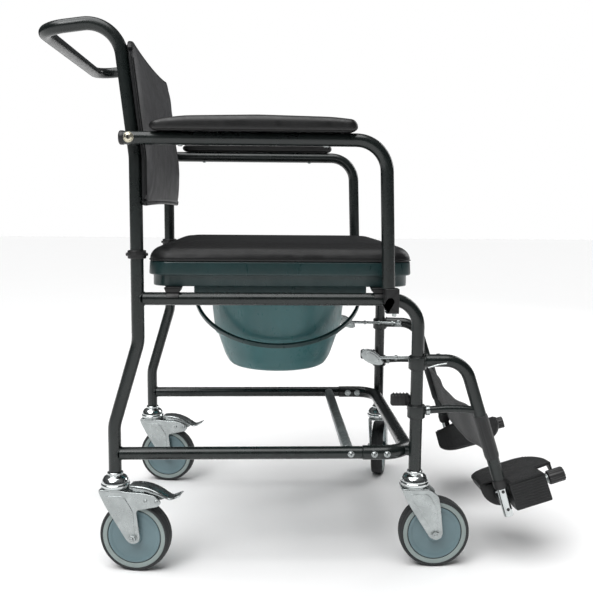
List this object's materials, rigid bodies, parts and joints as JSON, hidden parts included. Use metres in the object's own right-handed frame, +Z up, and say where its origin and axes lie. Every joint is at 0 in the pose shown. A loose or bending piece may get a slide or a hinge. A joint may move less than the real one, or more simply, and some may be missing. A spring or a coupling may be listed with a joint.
{
  "type": "commode chair",
  "caption": "Wheeled commode chair: steel tube frame, padded seat over a pail, flip-up arms, push handle, swing-away footrests and braked swivel castors.",
  "frame": {"origin": "on the floor, under the middle of the bounding box; the chair's mid-plane is the plane Y = -0.023 m, because the left front castor trails outwards", "axes": "+X forwards, towards the footrests; +Y to the sitter's left; +Z up"},
  "size_m": [0.9274, 0.6093, 0.9358],
  "materials": {
    "frame_paint": "satin dark grey-green powder coat",
    "grey_paint": "satin light grey powder coat",
    "black_plastic": "moulded black plastic, fine grain",
    "seat_vinyl": "black vinyl, fine grain, soft sheen",
    "back_vinyl": "dark grey vinyl, fine grain",
    "teal_plastic": "moulded dark teal plastic",
    "pail_plastic": "light teal polypropylene, semi-gloss",
    "zinc": "bright zinc and chrome plate",
    "hub_plastic": "grey-teal moulded nylon",
    "tyre_rubber": "matt dark rubber",
    "webbing": "woven grey webbing",
    "footplate_plastic": "dark grey ribbed plastic"
  },
  "bodies": {
    "frame": {"lower_cross_bar": "grey_paint", "front_u_tube": "frame_paint", "back_frame": "frame_paint", "back_upholstery": "back_vinyl", "seat_base": "teal_plastic", "rear_leg_lower_rail_right": "frame_paint", "side_rail_front_leg_right": "frame_paint", "post_collar_right": "black_plastic", "arm_pivot_bolt_right": "zinc", "pan_guide_right": "teal_plastic", "seat_clip_rear_right": "black_plastic", "seat_clip_front_right": "black_plastic", "rear_leg_lower_rail_left": "frame_paint", "side_rail_front_leg_left": "frame_paint", "post_collar_left": "black_plastic", "arm_pivot_bolt_left": "zinc", "pan_guide_left": "teal_plastic", "seat_clip_rear_left": "black_plastic", "seat_clip_front_left": "black_plastic", "castor_cup_rear_right": "zinc", "castor_cup_rear_left": "zinc", "castor_cup_front_right": "zinc", "castor_cup_front_left": "zinc"},
    "castor_rear_right": {"castor_fork_rear_right": "zinc"},
    "wheel_rear_right": {"tyre_rear_right": "tyre_rubber", "hub_rear_right": "hub_plastic"},
    "brake_pedal_rear_right": {"brake_pedal_rear_right": "zinc"},
    "castor_rear_left": {"castor_fork_rear_left": "zinc"},
    "wheel_rear_left": {"tyre_rear_left": "tyre_rubber", "hub_rear_left": "hub_plastic"},
    "brake_pedal_rear_left": {"brake_pedal_rear_left": "zinc"},
    "castor_front_right": {"castor_fork_front_right": "zinc"},
    "wheel_front_right": {"tyre_front_right": "tyre_rubber", "hub_front_right": "hub_plastic"},
    "castor_front_left": {"castor_fork_front_left": "zinc"},
    "wheel_front_left": {"tyre_front_left": "tyre_rubber", "hub_front_left": "hub_plastic"},
    "arm_right": {"arm_tube_right": "frame_paint", "arm_pad_right": "black_plastic", "arm_latch_right": "black_plastic"},
    "arm_button_right": {"arm_latch_button_right": "zinc"},
    "footrest_right": {"hanger_right": "frame_paint", "calf_strap_right": "webbing"},
    "lever_right": {"release_lever_right": "zinc"},
    "extension_right": {"extension_tube_right": "zinc"},
    "footplate_right": {"footplate_right": "footplate_plastic"},
    "arm_left": {"arm_tube_left": "frame_paint", "arm_pad_left": "black_plastic", "arm_latch_left": "black_plastic"},
    "arm_button_left": {"arm_latch_button_left": "zinc"},
    "footrest_left": {"hanger_left": "frame_paint", "calf_strap_left": "webbing"},
    "lever_left": {"release_lever_left": "zinc"},
    "extension_left": {"extension_tube_left": "zinc"},
    "footplate_left": {"footplate_left": "footplate_plastic"},
    "seat_cushion": {"seat_pad": "seat_vinyl"},
    "pail": {"pail": "pail_plastic", "pail_rim": "pail_plastic"},
    "bail": {"pail_bail": "pail_plastic"}
  },
  "joints": [
    {"name": "castor_swivel_rear_right", "type": "hinge", "parent": "frame", "child": "castor_rear_right", "pos_m": [-0.337, -0.253, 0.15], "axis": [0, 0, 1], "continuous": true},
    {"name": "wheel_spin_rear_right", "type": "hinge", "parent": "castor_rear_right", "child": "wheel_rear_right", "pos_m": [-0.30155, -0.25925, 0.06196], "axis": [0.1736, 0.9848, 0], "continuous": true},
    {"name": "brake_press_rear_right", "type": "hinge", "parent": "castor_rear_right", "child": "brake_pedal_rear_right", "pos_m": [-0.2917, -0.26099, 0.135], "axis": [0.1736, 0.9848, 0], "range_deg": [0, 10]},
    {"name": "castor_swivel_rear_left", "type": "hinge", "parent": "frame", "child": "castor_rear_left", "pos_m": [-0.337, 0.207, 0.15], "axis": [0, 0, 1], "continuous": true},
    {"name": "wheel_spin_rear_left", "type": "hinge", "parent": "castor_rear_left", "child": "wheel_rear_left", "pos_m": [-0.30155, 0.20075, 0.06196], "axis": [0.1736, 0.9848, 0], "continuous": true},
    {"name": "brake_press_rear_left", "type": "hinge", "parent": "castor_rear_left", "child": "brake_pedal_rear_left", "pos_m": [-0.2917, 0.19901, 0.135], "axis": [0.1736, 0.9848, 0], "range_deg": [0, 10]},
    {"name": "castor_swivel_front_right", "type": "hinge", "parent": "frame", "child": "castor_front_right", "pos_m": [0.186, -0.253, 0.15], "axis": [0, 0, 1], "continuous": true},
    {"name": "wheel_spin_front_right", "type": "hinge", "parent": "castor_front_right", "child": "wheel_front_right", "pos_m": [0.222, -0.253, 0.06196], "axis": [0, 1, 0], "continuous": true},
    {"name": "castor_swivel_front_left", "type": "hinge", "parent": "frame", "child": "castor_front_left", "pos_m": [0.186, 0.207, 0.15], "axis": [0, 0, 1], "continuous": true},
    {"name": "wheel_spin_front_left", "type": "hinge", "parent": "castor_front_left", "child": "wheel_front_left", "pos_m": [0.1941, 0.24208, 0.06196], "axis": [-0.9744, 0.225, 0], "continuous": true},
    {"name": "arm_flip_right", "type": "hinge", "parent": "frame", "child": "arm_right", "pos_m": [-0.299, -0.279, 0.741], "axis": [0, -1, 0], "range_deg": [0, 100]},
    {"name": "arm_button_press_right", "type": "slide", "parent": "arm_right", "child": "arm_button_right", "axis": [0, 0, 1], "range_m": [0, 0.004], "stiffness_N_per_m": 400, "springref_m": -0.002},
    {"name": "footrest_swing_right", "type": "hinge", "parent": "frame", "child": "footrest_right", "pos_m": [0.186, -0.253, 0.32], "axis": [0, 0, -1], "range_deg": [0, 90]},
    {"name": "lever_pull_right", "type": "hinge", "parent": "footrest_right", "child": "lever_right", "pos_m": [0.227, -0.233, 0.37], "axis": [0, 0, -1], "range_deg": [0, 15], "stiffness_Nm_per_rad": 0.5, "springref_deg": -5.73},
    {"name": "extension_slide_right", "type": "slide", "parent": "footrest_right", "child": "extension_right", "axis": [0.304, 0, -0.9527], "range_m": [0, 0.06]},
    {"name": "footplate_flip_right", "type": "hinge", "parent": "extension_right", "child": "footplate_right", "pos_m": [0.34864, -0.216, 0.11566], "axis": [0.9527, 0, 0.304], "range_deg": [0, 98], "deforming": ["calf_strap_right"]},
    {"name": "arm_flip_left", "type": "hinge", "parent": "frame", "child": "arm_left", "pos_m": [-0.299, 0.233, 0.741], "axis": [0, -1, 0], "range_deg": [0, 100]},
    {"name": "arm_button_press_left", "type": "slide", "parent": "arm_left", "child": "arm_button_left", "axis": [0, 0, 1], "range_m": [0, 0.004], "stiffness_N_per_m": 400, "springref_m": -0.002},
    {"name": "footrest_swing_left", "type": "hinge", "parent": "frame", "child": "footrest_left", "pos_m": [0.186, 0.207, 0.32], "axis": [0, 0, 1], "range_deg": [0, 98]},
    {"name": "lever_pull_left", "type": "hinge", "parent": "footrest_left", "child": "lever_left", "pos_m": [0.22382, 0.18149, 0.37], "axis": [0, 0, 1], "range_deg": [0, 15], "stiffness_Nm_per_rad": 0.5, "springref_deg": -5.73},
    {"name": "extension_slide_left", "type": "slide", "parent": "footrest_left", "child": "extension_left", "axis": [0.3011, -0.0423, -0.9527], "range_m": [0, 0.06]},
    {"name": "footplate_flip_left", "type": "hinge", "parent": "extension_left", "child": "footplate_left", "pos_m": [0.34191, 0.14772, 0.11566], "axis": [-0.9434, 0.1326, -0.304], "range_deg": [0, 98], "deforming": ["calf_strap_left"]},
    {"name": "seat_cushion_lift", "type": "slide", "parent": "frame", "child": "seat_cushion", "axis": [0, 0, 1], "range_m": [0, 0.06]},
    {"name": "pail_slide", "type": "slide", "parent": "frame", "child": "pail", "axis": [-1, 0, 0], "range_m": [0, 0.36]},
    {"name": "bail_swing", "type": "hinge", "parent": "pail", "child": "bail", "pos_m": [-0.053, -0.023, 0.471], "axis": [-1, 0, 0], "range_deg": [0, 22]}
  ]
}
